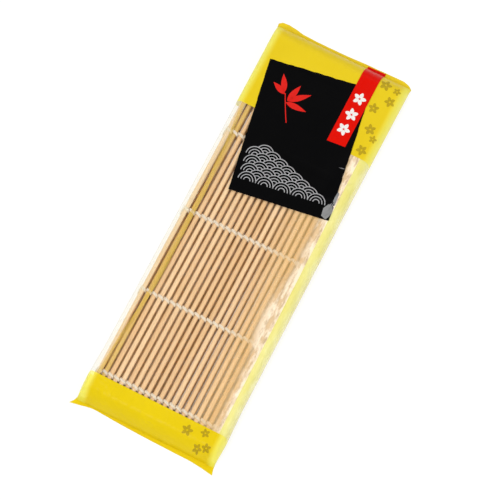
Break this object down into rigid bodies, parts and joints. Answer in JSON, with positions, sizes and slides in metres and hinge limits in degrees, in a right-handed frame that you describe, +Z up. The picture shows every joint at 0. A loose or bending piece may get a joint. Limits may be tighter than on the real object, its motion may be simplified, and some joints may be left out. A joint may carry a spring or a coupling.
{
  "type": "sushi rolling mat",
  "caption": "Bamboo rolling mat of round sticks tied by twined threads, folded in layers inside a clear film bag with printed ends.",
  "frame": {"origin": "middle of the bag's underside", "axes": "+Z up, +Y along the bag towards its headed end, +X to the right seen from above"},
  "size_m": [0.0918, 0.26, 0.0126],
  "materials": {
    "bamboo": "split and rounded bamboo, smooth, faint lengthwise grain",
    "cotton_thread": "twisted cotton, matt",
    "clear_film": "clear glossy packaging film with soft wrinkles",
    "printed_film": "glossy packaging film printed yellow",
    "black_print": "glossy packaging film printed black",
    "red_print": "glossy packaging film printed red"
  },
  "bodies": {
    "bag": {"back_film": "clear_film", "front_film": "clear_film", "top_seal": "printed_film", "bottom_seal": "printed_film"},
    "bottom_layer": {"bottom_sticks_1": "bamboo", "bottom_sticks_2": "bamboo", "bottom_sticks_3": "bamboo", "bottom_threads": "cotton_thread", "bottom_knots": "cotton_thread"},
    "middle_layer": {"middle_sticks_1": "bamboo", "middle_sticks_2": "bamboo", "middle_sticks_3": "bamboo", "middle_threads": "cotton_thread"},
    "top_link_01": {"top_stick_01": "bamboo", "top_thread_01": "cotton_thread"},
    "top_link_02": {"top_stick_02": "bamboo", "top_thread_02": "cotton_thread"},
    "top_link_03": {"top_stick_03": "bamboo", "top_thread_03": "cotton_thread"},
    "top_link_04": {"top_stick_04": "bamboo", "top_thread_04": "cotton_thread"},
    "top_link_05": {"top_stick_05": "bamboo", "top_thread_05": "cotton_thread"},
    "top_link_06": {"top_stick_06": "bamboo", "top_thread_06": "cotton_thread"},
    "top_link_07": {"top_stick_07": "bamboo", "top_thread_07": "cotton_thread"},
    "top_link_08": {"top_stick_08": "bamboo", "top_thread_08": "cotton_thread"},
    "top_link_09": {"top_stick_09": "bamboo", "top_thread_09": "cotton_thread"},
    "top_link_10": {"top_stick_10": "bamboo", "top_thread_10": "cotton_thread"},
    "top_link_11": {"top_stick_11": "bamboo", "top_thread_11": "cotton_thread"},
    "top_link_12": {"top_stick_12": "bamboo", "top_thread_12": "cotton_thread"},
    "top_link_13": {"top_stick_13": "bamboo", "top_thread_13": "cotton_thread"},
    "top_link_14": {"top_stick_14": "bamboo", "top_thread_14": "cotton_thread"},
    "top_link_15": {"top_stick_15": "bamboo", "top_thread_15": "cotton_thread"},
    "top_link_16": {"top_stick_16": "bamboo", "top_thread_16": "cotton_thread"},
    "top_link_17": {"top_stick_17": "bamboo", "top_thread_17": "cotton_thread"},
    "top_link_18": {"top_stick_18": "bamboo", "top_thread_18": "cotton_thread"},
    "top_link_19": {"top_stick_19": "bamboo", "top_thread_19": "cotton_thread"},
    "top_link_20": {"top_stick_20": "bamboo", "top_thread_20": "cotton_thread"},
    "top_link_21": {"top_stick_21": "bamboo", "top_thread_21": "cotton_thread", "top_knots": "cotton_thread"}
  },
  "joints": [
    {"name": "mat_slide", "type": "slide", "parent": "bag", "child": "bottom_layer", "axis": [0, 1, 0], "range_m": [0, 0.27], "deforming": ["front_film"]},
    {"name": "right_fold", "type": "hinge", "parent": "bottom_layer", "child": "middle_layer", "pos_m": [0.04095, 0, 0.0044], "axis": [0, 1, 0], "range_deg": [0, 180]},
    {"name": "left_fold", "type": "hinge", "parent": "middle_layer", "child": "top_link_01", "pos_m": [-0.04095, 0, 0.0083], "axis": [0, 1, 0], "range_deg": [-180, 0]},
    {"name": "curl_01", "type": "hinge", "parent": "top_link_01", "child": "top_link_02", "pos_m": [-0.03705, 0, 0.01025], "axis": [0, -1, 0], "range_deg": [0, 15.2], "deforming": ["front_film"]},
    {"name": "curl_02", "type": "hinge", "parent": "top_link_02", "child": "top_link_03", "pos_m": [-0.03315, 0, 0.01025], "axis": [0, -1, 0], "range_deg": [0, 15.2]},
    {"name": "curl_03", "type": "hinge", "parent": "top_link_03", "child": "top_link_04", "pos_m": [-0.02925, 0, 0.01025], "axis": [0, -1, 0], "range_deg": [0, 15.2]},
    {"name": "curl_04", "type": "hinge", "parent": "top_link_04", "child": "top_link_05", "pos_m": [-0.02535, 0, 0.01025], "axis": [0, -1, 0], "range_deg": [0, 15.2]},
    {"name": "curl_05", "type": "hinge", "parent": "top_link_05", "child": "top_link_06", "pos_m": [-0.02145, 0, 0.01025], "axis": [0, -1, 0], "range_deg": [0, 15.2]},
    {"name": "curl_06", "type": "hinge", "parent": "top_link_06", "child": "top_link_07", "pos_m": [-0.01755, 0, 0.01025], "axis": [0, -1, 0], "range_deg": [0, 15.2]},
    {"name": "curl_07", "type": "hinge", "parent": "top_link_07", "child": "top_link_08", "pos_m": [-0.01365, 0, 0.01025], "axis": [0, -1, 0], "range_deg": [0, 15.2]},
    {"name": "curl_08", "type": "hinge", "parent": "top_link_08", "child": "top_link_09", "pos_m": [-0.00975, 0, 0.01025], "axis": [0, -1, 0], "range_deg": [0, 15.2]},
    {"name": "curl_09", "type": "hinge", "parent": "top_link_09", "child": "top_link_10", "pos_m": [-0.00585, 0, 0.01025], "axis": [0, -1, 0], "range_deg": [0, 15.2]},
    {"name": "curl_10", "type": "hinge", "parent": "top_link_10", "child": "top_link_11", "pos_m": [-0.00195, 0, 0.01025], "axis": [0, -1, 0], "range_deg": [0, 15.2]},
    {"name": "curl_11", "type": "hinge", "parent": "top_link_11", "child": "top_link_12", "pos_m": [0.00195, 0, 0.01025], "axis": [0, -1, 0], "range_deg": [0, 15.2]},
    {"name": "curl_12", "type": "hinge", "parent": "top_link_12", "child": "top_link_13", "pos_m": [0.00585, 0, 0.01025], "axis": [0, -1, 0], "range_deg": [0, 15.2]},
    {"name": "curl_13", "type": "hinge", "parent": "top_link_13", "child": "top_link_14", "pos_m": [0.00975, 0, 0.01025], "axis": [0, -1, 0], "range_deg": [0, 15.2]},
    {"name": "curl_14", "type": "hinge", "parent": "top_link_14", "child": "top_link_15", "pos_m": [0.01365, 0, 0.01025], "axis": [0, -1, 0], "range_deg": [0, 15.2]},
    {"name": "curl_15", "type": "hinge", "parent": "top_link_15", "child": "top_link_16", "pos_m": [0.01755, 0, 0.01025], "axis": [0, -1, 0], "range_deg": [0, 15.2]},
    {"name": "curl_16", "type": "hinge", "parent": "top_link_16", "child": "top_link_17", "pos_m": [0.02145, 0, 0.01025], "axis": [0, -1, 0], "range_deg": [0, 15.2]},
    {"name": "curl_17", "type": "hinge", "parent": "top_link_17", "child": "top_link_18", "pos_m": [0.02535, 0, 0.01025], "axis": [0, -1, 0], "range_deg": [0, 15.2]},
    {"name": "curl_18", "type": "hinge", "parent": "top_link_18", "child": "top_link_19", "pos_m": [0.02925, 0, 0.01025], "axis": [0, -1, 0], "range_deg": [0, 15.2]},
    {"name": "curl_19", "type": "hinge", "parent": "top_link_19", "child": "top_link_20", "pos_m": [0.03315, 0, 0.01025], "axis": [0, -1, 0], "range_deg": [0, 15.2]},
    {"name": "curl_20", "type": "hinge", "parent": "top_link_20", "child": "top_link_21", "pos_m": [0.03705, 0, 0.01025], "axis": [0, -1, 0], "range_deg": [0, 15.2]}
  ],
  "couplings": [
    {"joint": "right_fold", "follows": "mat_slide", "rad_per_m": 11.636},
    {"joint": "left_fold", "follows": "mat_slide", "rad_per_m": -11.636},
    {"joint": "curl_02", "follows": "curl_01", "ratio": 1},
    {"joint": "curl_03", "follows": "curl_01", "ratio": 1},
    {"joint": "curl_04", "follows": "curl_01", "ratio": 1},
    {"joint": "curl_05", "follows": "curl_01", "ratio": 1},
    {"joint": "curl_06", "follows": "curl_01", "ratio": 1},
    {"joint": "curl_07", "follows": "curl_01", "ratio": 1},
    {"joint": "curl_08", "follows": "curl_01", "ratio": 1},
    {"joint": "curl_09", "follows": "curl_01", "ratio": 1},
    {"joint": "curl_10", "follows": "curl_01", "ratio": 1},
    {"joint": "curl_11", "follows": "curl_01", "ratio": 1},
    {"joint": "curl_12", "follows": "curl_01", "ratio": 1},
    {"joint": "curl_13", "follows": "curl_01", "ratio": 1},
    {"joint": "curl_14", "follows": "curl_01", "ratio": 1},
    {"joint": "curl_15", "follows": "curl_01", "ratio": 1},
    {"joint": "curl_16", "follows": "curl_01", "ratio": 1},
    {"joint": "curl_17", "follows": "curl_01", "ratio": 1},
    {"joint": "curl_18", "follows": "curl_01", "ratio": 1},
    {"joint": "curl_19", "follows": "curl_01", "ratio": 1},
    {"joint": "curl_20", "follows": "curl_01", "ratio": 1}
  ]
}
